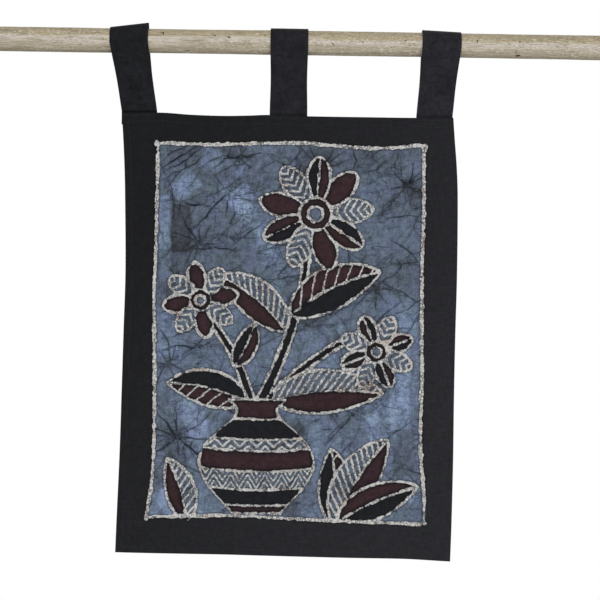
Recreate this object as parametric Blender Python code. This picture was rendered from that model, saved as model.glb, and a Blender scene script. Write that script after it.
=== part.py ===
"""Batik wall hanging on a wooden rod.

A dyed cotton panel hangs from a round rod by three sewn tabs. Metres, +Z up. The origin is on the
rod's axis at the middle of its length, +X runs along the rod to the right as seen from the front, and
the face of the cloth looks along -Y.
"""

import math

import bmesh
import bpy
from mathutils import Matrix, Vector

ROD_LENGTH = 0.900
ROD_RADIUS = 0.0160
ROD_SIDES = 24
ROD_CUTS = 31
ROD_END_CHAMFER = 0.0015
ROD_SWELL = 0.0003
ROD_BOW = 0.0003

PANEL_THICKNESS = 0.0012
HEM_THICKNESS = 0.0022
HEM_WIDTH = 0.012
HEM_STEP = 0.0012
PANEL_COLUMNS = 27
PANEL_ROWS = 34

TAB_THICKNESS = 0.0014
TAB_OVERLAP = 0.015
TAB_ROD_GAP = 0.0011
TAB_WAIST = 0.0016
TAB_BOW = 0.0012
TAB_COLUMNS = 6
TAB_SEAM_ROWS = 3
TAB_LEG_ROWS = 8
TAB_ARC_ROWS = 14
TAB_ROUND = ROD_RADIUS + TAB_ROD_GAP + TAB_THICKNESS / 2
SEAM_CLEARANCE = 0.0015
PIECE_GAP = 0.0004
# Where a tab leaves the rod's round, in half turns from straight back.
LEAVES_FRONT = 1.05
LEAVES_BACK = -0.05

COTTON_BLACK = (0.016, 0.016, 0.019)
BATIK_BLUE = (0.085, 0.110, 0.170)
WHITEWASHED_WOOD = (0.440, 0.390, 0.300)

# The batik picture within its black border, as shares of the panel's width and height.
PICTURE_ACROSS = (0.09, 0.91)
PICTURE_DOWN = (0.067, 0.92)

# How far down the panel a point is, from 0 at its top to 1 at its foot, and where its two edges are.
SIDE_EDGES = (
    # down, left edge, right edge
    (0.000, -0.2143, 0.2172),
    (0.045, -0.2122, 0.2193),
    (0.115, -0.2098, 0.2228),
    (0.185, -0.2083, 0.2246),
    (0.360, -0.2062, 0.2251),
    (0.500, -0.2075, 0.2240),
    (0.640, -0.2088, 0.2236),
    (0.780, -0.2102, 0.2237),
    (0.920, -0.2125, 0.2227),
    (1.000, -0.2137, 0.2216),
)

# How far across the panel a point is, from 0 at its left to 1 at its right, and how high its edges are.
TOP_AND_FOOT = (
    # across, top edge, foot edge
    (0.000, -0.0938, -0.6652),
    (0.125, -0.0931, -0.6659),
    (0.210, -0.0953, -0.6662),
    (0.300, -0.0961, -0.6665),
    (0.380, -0.0952, -0.6669),
    (0.440, -0.0939, -0.6672),
    (0.560, -0.0948, -0.6676),
    (0.720, -0.0950, -0.6681),
    (0.870, -0.0948, -0.6687),
    (1.000, -0.0938, -0.6706),
)

# The soft folds the panel hangs in: each swells forward, or back where the amount is negative.
PANEL_FOLDS = (
    # centre x, centre z, half width, half height, lean, forward
    (-0.105, -0.135, 0.050, 0.070, 0.00, 0.0034),
    (0.100, -0.130, 0.048, 0.065, 0.00, 0.0026),
    (-0.188, -0.215, 0.026, 0.100, -0.10, -0.0022),
    (0.004, -0.205, 0.030, 0.085, 0.05, -0.0020),
    (0.188, -0.215, 0.028, 0.100, 0.08, -0.0020),
    (0.030, -0.400, 0.140, 0.150, 0.00, 0.0040),
    (-0.200, -0.640, 0.060, 0.110, 0.25, 0.0045),
    (-0.055, -0.675, 0.050, 0.090, -0.15, -0.0024),
    (0.080, -0.675, 0.050, 0.090, 0.10, 0.0030),
    (0.165, -0.660, 0.030, 0.070, 0.10, -0.0020),
    (0.215, -0.665, 0.035, 0.075, -0.15, 0.0040),
)

# A tab leans from the rod to its seam, narrows a little, and stands off the rod where its fold is slack.
TABS = {
    "tab_left": {
        "rod_x": -0.2056, "seam_x": -0.1912, "rod_width": 0.0500, "seam_width": 0.0461,
        "lift_left": 0.0000, "lift_right": 0.0052,
        "fold_at_rod": 0.25, "fold_at_seam": 0.72, "fold_forward": 0.0018,
    },
    "tab_middle": {
        "rod_x": 0.0025, "seam_x": 0.0027, "rod_width": 0.0490, "seam_width": 0.0490,
        "lift_left": 0.0002, "lift_right": 0.0004,
        "fold_at_rod": 0.55, "fold_at_seam": 0.45, "fold_forward": 0.0008,
    },
    "tab_right": {
        "rod_x": 0.2002, "seam_x": 0.1926, "rod_width": 0.0508, "seam_width": 0.0472,
        "lift_left": 0.0018, "lift_right": 0.0000,
        "fold_at_rod": 0.70, "fold_at_seam": 0.35, "fold_forward": 0.0014,
    },
}
TAB_FOLD_WIDTH = 0.2


def clear_scene():
    """Removes whatever the file holds before the model is built."""
    for thing in list(bpy.data.objects):
        bpy.data.objects.remove(thing, do_unlink=True)


def finish(name, colour, roughness):
    """A plain finish with no metal in it."""
    material = bpy.data.materials.new(name)
    material.use_nodes = True
    shader = material.node_tree.nodes["Principled BSDF"]
    shader.inputs["Base Color"].default_value = (*colour, 1.0)
    shader.inputs["Roughness"].default_value = roughness
    shader.inputs["Metallic"].default_value = 0.0
    return material


def add_object(name, body, material, sharp_above):
    """Turns a finished bmesh into a named object, smooth but for edges sharper than the given angle."""
    mesh = bpy.data.meshes.new(name)
    body.to_mesh(mesh)
    body.free()
    mesh.shade_smooth()
    mesh.set_sharp_from_angle(angle=math.radians(sharp_above))
    mesh.materials.append(material)
    thing = bpy.data.objects.new(name, mesh)
    bpy.context.collection.objects.link(thing)
    return thing


def mix(first, second, share):
    """The value that lies the given share of the way from the first to the second."""
    return first + (second - first) * share


def smooth(start, leaving, end, arriving, share):
    """A place on the smooth curve between two points that has the given directions at its ends."""
    square, cube = share ** 2, share ** 3
    return (
        start * (2 * cube - 3 * square + 1)
        + leaving * (cube - 2 * square + share)
        + end * (3 * square - 2 * cube)
        + arriving * (cube - square)
    )


def read_curve(table, column, at):
    """Reads a column of a table at a place between its rows, on a smooth curve through them."""
    last = len(table) - 1
    row = 0
    while row < last - 1 and at > table[row + 1][0]:
        row += 1
    before, start, end, after = (table[min(max(row + step, 0), last)] for step in (-1, 0, 1, 2))
    span = end[0] - start[0]
    leaving = (end[column] - before[column]) / (end[0] - before[0]) * span
    arriving = (after[column] - start[column]) / (after[0] - start[0]) * span
    return smooth(start[column], leaving, end[column], arriving, (at - start[0]) / span)


def fold_forward(x, z):
    """How far forward of the plane under the rod's axis the soft folds bring the panel at a point."""
    forward = 0.0
    for centre_x, centre_z, half_width, half_height, lean, amount in PANEL_FOLDS:
        down = z - centre_z
        sideways = x - centre_x - lean * down
        forward += amount * math.exp(-(sideways / half_width) ** 2 - (down / half_height) ** 2)
    return forward


def panel_top(x):
    """The height of the panel's top edge at a distance along the rod."""
    left, right = SIDE_EDGES[0][1:]
    return read_curve(TOP_AND_FOOT, 1, (x - left) / (right - left))


def panel_front(across, down):
    """A point on the face of the panel, by its share of the way across and down."""
    x = mix(read_curve(SIDE_EDGES, 1, down), read_curve(SIDE_EDGES, 2, down), across)
    z = mix(read_curve(TOP_AND_FOOT, 1, across), read_curve(TOP_AND_FOOT, 2, across), down)
    return x, -PANEL_THICKNESS / 2 - fold_forward(x, z), z


def hem_stations(length, cells):
    """Shares along one side of the panel, with a close pair of stations where each hem ends."""
    hem, inside = HEM_WIDTH / length, (HEM_WIDTH + HEM_STEP) / length
    middle = [mix(inside, 1 - inside, cell / cells) for cell in range(cells + 1)]
    return [0.0, hem] + middle + [1 - hem, 1.0]


def grid_sheet(across, along, place):
    """A bmesh grid of points, place(share across, share along), with its rows running along."""
    body = bmesh.new()
    rows = [[body.verts.new(place(s, t)) for s in across] for t in along]
    for upper, lower in zip(rows, rows[1:]):
        for column in range(len(across) - 1):
            body.faces.new((upper[column], lower[column], lower[column + 1], upper[column + 1]))
    return body


def add_rod(material):
    """The rod is one length of wood, slightly uneven along its length, with plain sawn ends."""
    body = bmesh.new()
    bmesh.ops.create_cone(
        body, cap_ends=True, segments=ROD_SIDES, radius1=ROD_RADIUS, radius2=ROD_RADIUS, depth=ROD_LENGTH,
        matrix=Matrix.Rotation(math.pi / 2, 4, "Y"),
    )
    rims = [edge for edge in body.edges if edge.calc_length() < ROD_RADIUS]
    bmesh.ops.bevel(body, geom=rims, offset=ROD_END_CHAMFER, segments=1, affect="EDGES")
    staves = [edge for edge in body.edges if edge.calc_length() > ROD_LENGTH / 2]
    bmesh.ops.subdivide_edges(body, edges=staves, cuts=ROD_CUTS, use_grid_fill=True)
    for point in body.verts:
        x, y, z = point.co
        turn = math.atan2(z, y)
        swell = ROD_SWELL * math.sin(x * 17.0 + 0.6) * (0.6 + 0.4 * math.sin(2 * turn + x * 9.0))
        wide = 1 + swell / ROD_RADIUS
        point.co.y = y * wide + ROD_BOW * math.sin(x * 11.0)
        point.co.z = z * wide + ROD_BOW * math.sin(x * 8.0 + 0.9)
    add_object("rod", body, material, sharp_above=35)


def add_panel(materials):
    """The panel is one cotton cloth, with a turned hem standing off its back all the way round."""
    width = SIDE_EDGES[0][2] - SIDE_EDGES[0][1]
    height = TOP_AND_FOOT[0][1] - TOP_AND_FOOT[0][2]
    across, down = hem_stations(width, PANEL_COLUMNS), hem_stations(height, PANEL_ROWS)
    panel = add_object("cloth", grid_sheet(across, down, panel_front), materials[0], sharp_above=60)
    panel.data.materials.append(materials[1])
    for face in panel.data.polygons:
        row, column = divmod(face.index, len(across) - 1)
        in_picture = (
            PICTURE_ACROSS[0] < across[column] < PICTURE_ACROSS[1]
            and PICTURE_DOWN[0] < down[row] < PICTURE_DOWN[1]
        )
        face.material_index = 0 if in_picture else 1
    hem = panel.vertex_groups.new(name="hem")
    for row in range(len(down)):
        for column in range(len(across)):
            if row < 2 or column < 2 or row >= len(down) - 2 or column >= len(across) - 2:
                hem.add([row * len(across) + column], 1.0, "REPLACE")
    thick = panel.modifiers.new("thickness", "SOLIDIFY")
    thick.thickness = HEM_THICKNESS
    thick.offset = -1.0
    thick.vertex_group = hem.name
    thick.thickness_vertex_group = PANEL_THICKNESS / HEM_THICKNESS


def tab_x(tab, across, down):
    """How far along the rod a point of a tab is, by its shares across and down from rod to seam."""
    width = mix(tab["rod_width"], tab["seam_width"], down) - TAB_WAIST * math.sin(math.pi * down) ** 2
    return mix(tab["rod_x"], tab["seam_x"], down) + (across - 0.5) * width


def arc_point(tab, across, share):
    """A point of a tab where it goes over the rod, from front to back."""
    turn = math.pi * mix(LEAVES_FRONT, LEAVES_BACK, share)
    lift = mix(tab["lift_left"], tab["lift_right"], across) * max(math.sin(turn), 0.0)
    return Vector((tab_x(tab, across, 0.0), TAB_ROUND * math.cos(turn), TAB_ROUND * math.sin(turn) + lift))


def seam_point(tab, across, share, side):
    """A point of a tab behind the panel's hem, from its end up; the back leg lies behind the front one."""
    x = tab_x(tab, across, 1.0)
    z = mix(panel_top(x) - TAB_OVERLAP, panel_top(x) + SEAM_CLEARANCE, share)
    y = HEM_THICKNESS - PANEL_THICKNESS / 2 + PIECE_GAP + TAB_THICKNESS / 2 - fold_forward(x, z)
    return Vector((x, y + (TAB_THICKNESS + PIECE_GAP if side > 0 else 0.0), z))


def leg_point(tab, across, share, side):
    """A point of a tab's leg, which leaves the rod along its round and reaches the seam hanging straight."""
    turn = math.pi * (LEAVES_FRONT if side < 0 else LEAVES_BACK)
    start, end = arc_point(tab, across, 0.0 if side < 0 else 1.0), seam_point(tab, across, 1.0, side)
    reach = (end - start).length
    leaving = Vector((0, side * math.sin(turn), -side * math.cos(turn))) * reach
    point = smooth(start, leaving, end, Vector((0, 0, -reach)), share)
    fold_at = mix(tab["fold_at_rod"], tab["fold_at_seam"], share)
    bulge = TAB_BOW * (1 - (2 * across - 1) ** 2)
    bulge += tab["fold_forward"] * math.exp(-((across - fold_at) / TAB_FOLD_WIDTH) ** 2)
    point.y += side * bulge * math.sin(math.pi * share) ** 2
    point.x = tab_x(tab, across, share)
    return point


def tab_rows():
    """Places along a tab from its front end to its back end: a point function and what it is given."""
    rows = [(seam_point, step / TAB_SEAM_ROWS, -1) for step in range(TAB_SEAM_ROWS)]
    rows += [(leg_point, 1 - step / TAB_LEG_ROWS, -1) for step in range(TAB_LEG_ROWS)]
    rows += [(arc_point, step / TAB_ARC_ROWS) for step in range(TAB_ARC_ROWS + 1)]
    rows += [(leg_point, step / TAB_LEG_ROWS, 1) for step in range(1, TAB_LEG_ROWS + 1)]
    rows += [(seam_point, 1 - step / TAB_SEAM_ROWS, 1) for step in range(1, TAB_SEAM_ROWS + 1)]
    return rows


def add_tab(name, material):
    """Each tab is one folded strip of the same cotton, over the rod, with both ends behind the top hem."""
    tab = TABS[name]
    across = [column / TAB_COLUMNS for column in range(TAB_COLUMNS + 1)]
    body = grid_sheet(across, tab_rows(), lambda share, row: row[0](tab, share, *row[1:]))
    strip = add_object(name, body, material, sharp_above=60)
    thick = strip.modifiers.new("thickness", "SOLIDIFY")
    thick.thickness = TAB_THICKNESS
    thick.offset = 0.0


clear_scene()
black_cotton = finish("black_cotton", COTTON_BLACK, 0.9)
add_rod(finish("whitewashed_wood", WHITEWASHED_WOOD, 0.75))
add_panel((finish("batik_cotton", BATIK_BLUE, 0.85), black_cotton))
for tab_name in TABS:
    add_tab(tab_name, black_cotton)
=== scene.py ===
"""Batik wall hanging on a wooden rod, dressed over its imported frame.

Metres, +Z up. The origin is on the rod's axis at the middle of its length, +X runs along the rod to
the right as seen from the front, and the face of the cloth looks along -Y.
"""

import math

import bpy
import numpy as np
from mathutils import Matrix, Vector, noise


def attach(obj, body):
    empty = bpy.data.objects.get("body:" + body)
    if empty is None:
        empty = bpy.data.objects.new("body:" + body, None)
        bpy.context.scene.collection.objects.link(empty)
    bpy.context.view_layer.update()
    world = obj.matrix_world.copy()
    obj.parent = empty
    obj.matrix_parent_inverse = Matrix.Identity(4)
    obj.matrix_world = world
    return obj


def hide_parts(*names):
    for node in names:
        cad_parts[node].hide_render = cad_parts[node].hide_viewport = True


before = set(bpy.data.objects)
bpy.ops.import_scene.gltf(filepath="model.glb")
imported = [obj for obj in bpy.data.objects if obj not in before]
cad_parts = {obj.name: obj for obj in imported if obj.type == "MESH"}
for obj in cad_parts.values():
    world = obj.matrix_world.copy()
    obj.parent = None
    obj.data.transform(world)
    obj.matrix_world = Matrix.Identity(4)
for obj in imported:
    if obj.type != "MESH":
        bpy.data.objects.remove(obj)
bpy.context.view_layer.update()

MM = 0.001

# The panel
# One cut of plain woven cotton, black round its rim and waxed and dyed in the middle, with a turned
# and stitched hem on all four sides. It hangs in soft shallow folds, because only the tabs hold it.
PANEL_THICKNESS = 0.0012
HEM_THICKNESS = 0.0022
HEM_WIDTH = 0.012
HEM_EDGE_FALL = 0.0006
CLOTH_LAYER = 0.0009
EDGE_ROUND = 0.0008
# How far in from an edge the hem's rows of points lie, then how many cells the rim and the picture have.
HEM_STATIONS = np.array([0.0, 0.0003, 0.0008, *np.linspace(0.0016, 0.0126, 11)])
RIM_CELLS = 7
PICTURE_CELLS = (200, 276)
# How far in the picture's fine cells start, from the left, right, top and foot.
PICTURE_MARGINS = (0.036, 0.036, 0.032, 0.042)
# Where the tabs' ends lie behind the top hem: their middles along the rod and their widths.
TAB_ENDS = ((-0.1912, 0.0461), (0.0027, 0.0490), (0.1926, 0.0472))
TAB_END_DEPTH = 0.015
# How far in the hem is stitched, at the sides, the top and the foot.
SIDE_ROW, TOP_ROW, FOOT_ROW = 0.0082, 0.0108, 0.0076
# Relief of the face, in millimetres forward, and the sizes of its forms in metres. The cloth is wavy, and
# the tabs' ends push it forward. Stitches pull it in, more where it puckers, and puff it up beside them.
WAVES = (
    # height, size, seed
    (0.32, 0.052, 0.0), (0.12, 0.017, 3.0),
)
TAB_PUSH, TAB_PUSH_EDGE = 0.55, 0.0016
PUCKER_SIZE = 0.0065
PULL, PUCKERED_PULL, PULL_WIDTH = 0.20, 0.22, 0.0011
PUFF, PUFF_WIDTH, PUFF_BESIDE = 0.10, 0.0022, 0.0035
EDGE_FALL = 0.75

# How far down the panel a point is, from 0 at its top to 1 at its foot, and where its two edges are.
SIDE_EDGES = (
    # down, left edge, right edge
    (0.000, -0.2143, 0.2172),
    (0.045, -0.2122, 0.2193),
    (0.115, -0.2098, 0.2228),
    (0.185, -0.2083, 0.2246),
    (0.360, -0.2062, 0.2251),
    (0.500, -0.2075, 0.2240),
    (0.640, -0.2088, 0.2236),
    (0.780, -0.2102, 0.2237),
    (0.920, -0.2125, 0.2227),
    (1.000, -0.2137, 0.2216),
)

# How far across the panel a point is, from 0 at its left to 1 at its right, and how high its edges are.
TOP_AND_FOOT = (
    # across, top edge, foot edge
    (0.000, -0.0938, -0.6652),
    (0.125, -0.0931, -0.6659),
    (0.210, -0.0953, -0.6662),
    (0.300, -0.0961, -0.6665),
    (0.380, -0.0952, -0.6669),
    (0.440, -0.0939, -0.6672),
    (0.560, -0.0948, -0.6676),
    (0.720, -0.0950, -0.6681),
    (0.870, -0.0948, -0.6687),
    (1.000, -0.0938, -0.6706),
)

# The soft folds the panel hangs in: each swells forward, or back where the amount is negative.
PANEL_FOLDS = (
    # centre x, centre z, half width, half height, lean, forward
    (-0.105, -0.135, 0.050, 0.070, 0.00, 0.0034),
    (0.100, -0.130, 0.048, 0.065, 0.00, 0.0026),
    (-0.188, -0.215, 0.026, 0.100, -0.10, -0.0022),
    (0.004, -0.205, 0.030, 0.085, 0.05, -0.0020),
    (0.188, -0.215, 0.028, 0.100, 0.08, -0.0020),
    (0.030, -0.400, 0.140, 0.150, 0.00, 0.0040),
    (-0.200, -0.640, 0.060, 0.110, 0.25, 0.0045),
    (-0.055, -0.675, 0.050, 0.090, -0.15, -0.0024),
    (0.080, -0.675, 0.050, 0.090, 0.10, 0.0030),
    (0.165, -0.660, 0.030, 0.070, 0.10, -0.0020),
    (0.215, -0.665, 0.035, 0.075, -0.15, 0.0040),
)

# Creases left by folding and by crushing the waxed cloth: a trough where the amount is negative.
CREASES = (
    # half width and forward in mm, then the points it runs through in mm
    (1.3, -0.75, ((-131, -211), (-118, -212), (-104, -211))),
    (2.6, 0.45, ((-131, -207), (-104, -207))),
    (2.4, -0.32, ((-123, -248), (-104, -229), (-87, -208), (-72, -195), (-55, -183))),
    (2.2, -0.28, ((-163, -165), (-112, -134))),
    (2.2, -0.28, ((-159, -172), (-108, -139))),
    (1.8, 0.40, ((-99, -522), (-72, -516), (-45, -512))),
    (2.8, -0.28, ((124, -222), (156, -186), (175, -165))),
    (2.4, -0.25, ((-158, -486), (-132, -513), (-105, -539))),
    (3.2, 0.30, ((-150, -400), (-96, -372), (-40, -366))),
    (3.4, -0.26, ((70, -478), (120, -470), (172, -452))),
    (3.0, 0.25, ((-20, -560), (44, -548), (110, -556))),
)


def mix(first, second, share):
    """The value that lies the given share of the way from the first to the second."""
    return first + (second - first) * share


def smooth(start, leaving, end, arriving, share):
    """A place on the smooth curve between two points that has the given directions at its ends."""
    square, cube = share ** 2, share ** 3
    return (
        start * (2 * cube - 3 * square + 1)
        + leaving * (cube - 2 * square + share)
        + end * (3 * square - 2 * cube)
        + arriving * (cube - square)
    )


def read_curve(table, column, at):
    """Reads a column of a table at places between its rows, on a smooth curve through them."""
    table = np.array(table)
    places, values, last = table[:, 0], table[:, column], len(table) - 1
    before = np.maximum(np.arange(last + 1) - 1, 0)
    after = np.minimum(np.arange(last + 1) + 1, last)
    slope = (values[after] - values[before]) / (places[after] - places[before])
    row = np.clip(np.searchsorted(places, at) - 1, 0, last - 1)
    span = places[row + 1] - places[row]
    share = (at - places[row]) / span
    return smooth(values[row], slope[row] * span, values[row + 1], slope[row + 1] * span, share)


def fold_forward(x, z):
    """How far forward of the plane under the rod's axis the soft folds bring the panel."""
    forward = 0.0
    for centre_x, centre_z, half_width, half_height, lean, amount in PANEL_FOLDS:
        down = z - centre_z
        sideways = x - centre_x - lean * down
        forward = forward + amount * np.exp(-(sideways / half_width) ** 2 - (down / half_height) ** 2)
    return forward


def uneven(x, y, z, size, seed=0.0):
    """Even noise from -1 to 1 at many points, with bumps of about the given size."""
    points = np.stack(np.broadcast_arrays(x, y, z), axis=-1).reshape(-1, 3) / size + (seed, -seed, 2 * seed)
    return np.array([noise.noise(point) for point in points.tolist()]).reshape(x.shape)


def line_distance(x, z, points):
    """How far places are from a broken line through the given points."""
    nearest = np.full(x.shape, 1e6)
    for (start_x, start_z), (end_x, end_z) in zip(points, points[1:]):
        run_x, run_z = end_x - start_x, end_z - start_z
        share = ((x - start_x) * run_x + (z - start_z) * run_z) / (run_x ** 2 + run_z ** 2)
        share = np.clip(share, 0, 1)
        nearest = np.minimum(nearest, np.hypot(x - start_x - share * run_x, z - start_z - share * run_z))
    return nearest


PANEL_WIDTH = SIDE_EDGES[0][2] - SIDE_EDGES[0][1]
PANEL_HEIGHT = TOP_AND_FOOT[0][1] - TOP_AND_FOOT[0][2]


def panel_stations(length, near_margin, far_margin, picture_cells):
    """Distances from one edge of the panel to the other, close in the hems and over the picture."""
    near = np.linspace(HEM_STATIONS[-1], near_margin, RIM_CELLS + 1)[1:]
    picture = np.linspace(near_margin, length - far_margin, picture_cells + 1)[1:]
    far = np.linspace(length - far_margin, length - HEM_STATIONS[-1], RIM_CELLS + 1)[1:]
    return np.concatenate((HEM_STATIONS, near, picture, far, length - HEM_STATIONS[-2::-1]))


def panel_point(from_left, from_top):
    """The panel's face at distances from its left and top edges, as x, y and z, with all its relief."""
    from_right, from_foot = PANEL_WIDTH - from_left, PANEL_HEIGHT - from_top
    across, down = from_left / PANEL_WIDTH, from_top / PANEL_HEIGHT
    x = mix(read_curve(SIDE_EDGES, 1, down), read_curve(SIDE_EDGES, 2, down), across)
    z = mix(read_curve(TOP_AND_FOOT, 1, across), read_curve(TOP_AND_FOOT, 2, across), down)
    relief = sum(height * uneven(x, 0.0, z, size, seed) for height, size, seed in WAVES)
    for half_width, forward, points in CREASES:
        relief += forward * np.exp(-(line_distance(x / MM, z / MM, points) / half_width) ** 2)
    for middle, width in TAB_ENDS:
        beside = np.abs(x - middle) - width / 2
        below = np.abs(from_top - TAB_END_DEPTH / 2) - TAB_END_DEPTH / 2
        relief += TAB_PUSH * np.clip(0.5 - np.maximum(beside, below) / TAB_PUSH_EDGE, 0, 1)
    puckered = 0.5 + 0.5 * uneven(x, 0.0, z, PUCKER_SIZE, seed=7.0)
    rows = ((from_left, SIDE_ROW), (from_right, SIDE_ROW), (from_top, TOP_ROW), (from_foot, FOOT_ROW))
    for distance, stitched in rows:
        relief -= (PULL + PUCKERED_PULL * puckered) * np.exp(-((distance - stitched) / PULL_WIDTH) ** 2)
        relief += PUFF * puckered * np.exp(-((distance - stitched + PUFF_BESIDE) / PUFF_WIDTH) ** 2)
        relief -= EDGE_FALL * np.clip(1 - distance / EDGE_ROUND, 0, 1) ** 2
    return x, -PANEL_THICKNESS / 2 - fold_forward(x, z) - relief * MM, z


def mesh_object(name, points, faces, material):
    """A smooth mesh object of the given points and faces, in one material."""
    mesh = bpy.data.meshes.new(name)
    mesh.from_pydata(points.tolist(), [], faces)
    mesh.shade_smooth()
    mesh.materials.append(material)
    thing = bpy.data.objects.new(name, mesh)
    bpy.context.collection.objects.link(thing)
    return thing


def grid_faces(numbers):
    """The faces of a grid of point numbers, which look the way its rows run down and columns across."""
    corners = (numbers[:-1, :-1], numbers[1:, :-1], numbers[1:, 1:], numbers[:-1, 1:])
    return np.stack(corners, axis=-1).reshape(-1, 4).tolist()


def ring_of(numbers):
    """The point numbers round the edge of a grid, clockwise from its upper left corner."""
    return np.concatenate(
        (numbers[0, :-1], numbers[:-1, -1], numbers[-1, :0:-1], numbers[:0:-1, 0])
    ).tolist()


left_stations = panel_stations(PANEL_WIDTH, *PICTURE_MARGINS[:2], PICTURE_CELLS[0])
top_stations = panel_stations(PANEL_HEIGHT, *PICTURE_MARGINS[2:], PICTURE_CELLS[1])
from_left, from_top = np.meshgrid(left_stations, top_stations)
face_x, face_y, face_z = panel_point(from_left, from_top)
# The back has every second point of the face, and stands off it by two more layers in the hem.
edge_distance = np.minimum.reduce(
    [from_left, PANEL_WIDTH - from_left, from_top, PANEL_HEIGHT - from_top]
)
hem_depth = HEM_THICKNESS - HEM_EDGE_FALL * np.clip(1 - edge_distance / EDGE_ROUND, 0, 1) ** 2
thickness = np.where(edge_distance < HEM_WIDTH, hem_depth, CLOTH_LAYER)
back_y = np.where(edge_distance < EDGE_ROUND, -PANEL_THICKNESS / 2 - fold_forward(face_x, face_z), face_y)
back_y = (back_y + thickness)[::2, ::2]
back_x, back_z = face_x[::2, ::2], face_z[::2, ::2]
face_points = np.stack((face_x, face_y, face_z), axis=-1).reshape(-1, 3)
back_points = np.stack((back_x, back_y, back_z), axis=-1).reshape(-1, 3)
face_numbers = np.arange(face_x.size).reshape(face_x.shape)
back_numbers = face_x.size + np.arange(back_x.size).reshape(back_x.shape)
panel_faces = grid_faces(face_numbers) + [face[::-1] for face in grid_faces(back_numbers)]
face_ring, back_ring = ring_of(face_numbers), ring_of(back_numbers)
for step in range(len(back_ring)):
    following = (step + 1) % len(back_ring)
    rim = face_ring[2 * step:2 * step + 2] + [face_ring[(2 * step + 2) % len(face_ring)]]
    panel_faces.append(rim + [back_ring[following], back_ring[step]])

# The picture is a generic potted plant, drawn as a batik maker does: shape by shape in melted wax, each
# new one over the last. Places are in millimetres, and every point learns how far it is from the wax.
FAR_FROM_WAX = 60.0
wax_x, wax_z = (np.concatenate((face_points, back_points))[:, axis] / MM for axis in (0, 2))
wax_gap = np.full(wax_x.shape, FAR_FROM_WAX)
stripe_run = np.zeros(wax_x.shape)
dyes = {name: np.zeros(wax_x.shape) for name in ("maroon", "black", "striped", "veined")}
SHAPES = {
    "leaf": lambda share: np.sin(np.pi * share ** 0.85) ** 0.85,
    "petal": lambda share: np.sin(np.pi * (0.04 + 0.90 * share ** 1.25)) ** 0.75,
    "stem": lambda share: 1.0 - 0.30 * share,
}
# Midribs and the pot's bands are waxed thinner than outlines, by this much on either side of the line.
MIDRIB_THINNER, BAND_THINNER = 0.4, 0.2
# How far apart a spine's points are, how much stripes slant back from it, and how far round a shape the
# points of the cloth lie that it can change.
SPINE_STEP, STRIPE_SLANT, SHAPE_REACH = 1.5, 0.8, 12
# Where a flower's petals start, how long they are, and its double eye, as shares of its reach.
PETAL_START, PETAL_LENGTH, EYE_RADIUS, PUPIL_RADIUS = 0.16, 0.84, 0.30, 0.14
# How far the pot's bands sag in the middle as a share of its height, and how far apart zigzags are.
BAND_SAG, ZIGZAG_PITCH = 0.035, 22


def wax_shape(shape, start, heading, length, half_width, bend, left_dye, right_dye):
    """Waxes the outline and midrib of one shape round a bent spine, and dyes its two halves."""
    share = np.linspace(0, 1, round(length / SPINE_STEP))
    turn = np.radians(heading + bend * (share - 0.5))
    step = length / (len(share) - 1)
    spine_x = start[0] + np.concatenate(([0], np.cumsum(np.cos(turn[:-1]) * step)))
    spine_z = start[1] + np.concatenate(([0], np.cumsum(np.sin(turn[:-1]) * step)))
    reach = half_width + SHAPE_REACH
    near = (wax_x > spine_x.min() - reach) & (wax_x < spine_x.max() + reach)
    near &= (wax_z > spine_z.min() - reach) & (wax_z < spine_z.max() + reach)
    away_x, away_z = wax_x[near][:, None] - spine_x, wax_z[near][:, None] - spine_z
    distance = np.hypot(away_x, away_z)
    edge = (distance - half_width * SHAPES[shape](share)).min(axis=1)
    closest = distance.argmin(axis=1)
    rows = np.arange(len(closest))
    away_x, away_z = away_x[rows, closest], away_z[rows, closest]
    forward_x, forward_z = np.cos(turn[closest]), np.sin(turn[closest])
    run = share[closest] * length + away_x * forward_x + away_z * forward_z
    side = away_z * forward_x - away_x * forward_z
    inside = edge < 0
    gap = np.where(inside, -edge, np.minimum(wax_gap[near], edge))
    if left_dye != right_dye:
        gap = np.where(inside, np.minimum(gap, np.abs(side) + MIDRIB_THINNER), gap)
    wax_gap[near] = gap
    stripe_run[near] = np.where(inside, run - STRIPE_SLANT * np.abs(side), stripe_run[near])
    for name, amount in dyes.items():
        mine = np.where(side > 0, name in left_dye, name in right_dye)
        amount[near] = np.where(inside, mine, amount[near])


def wax_disc(centre, radius, dye):
    """Waxes a round outline and dyes what is inside it."""
    edge = np.hypot(wax_x - centre[0], wax_z - centre[1]) - radius
    inside = edge < 0
    wax_gap[:] = np.where(inside, -edge, np.minimum(wax_gap, edge))
    for name, amount in dyes.items():
        amount[inside] = name in dye


def wax_flower(centre, petals, reach, turn, petal_dyes):
    """Waxes a ring of petals round a double eye."""
    for petal in range(petals):
        heading = turn + 360 * petal / petals
        start = [centre[0] + PETAL_START * reach * math.cos(math.radians(heading)),
                 centre[1] + PETAL_START * reach * math.sin(math.radians(heading))]
        wax_shape("petal", start, heading, PETAL_LENGTH * reach, 2 * reach / petals, 0,
                  *petal_dyes[petal % len(petal_dyes)])
    wax_disc(centre, EYE_RADIUS * reach, MAROON)
    wax_disc(centre, PUPIL_RADIUS * reach, BARE)


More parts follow.
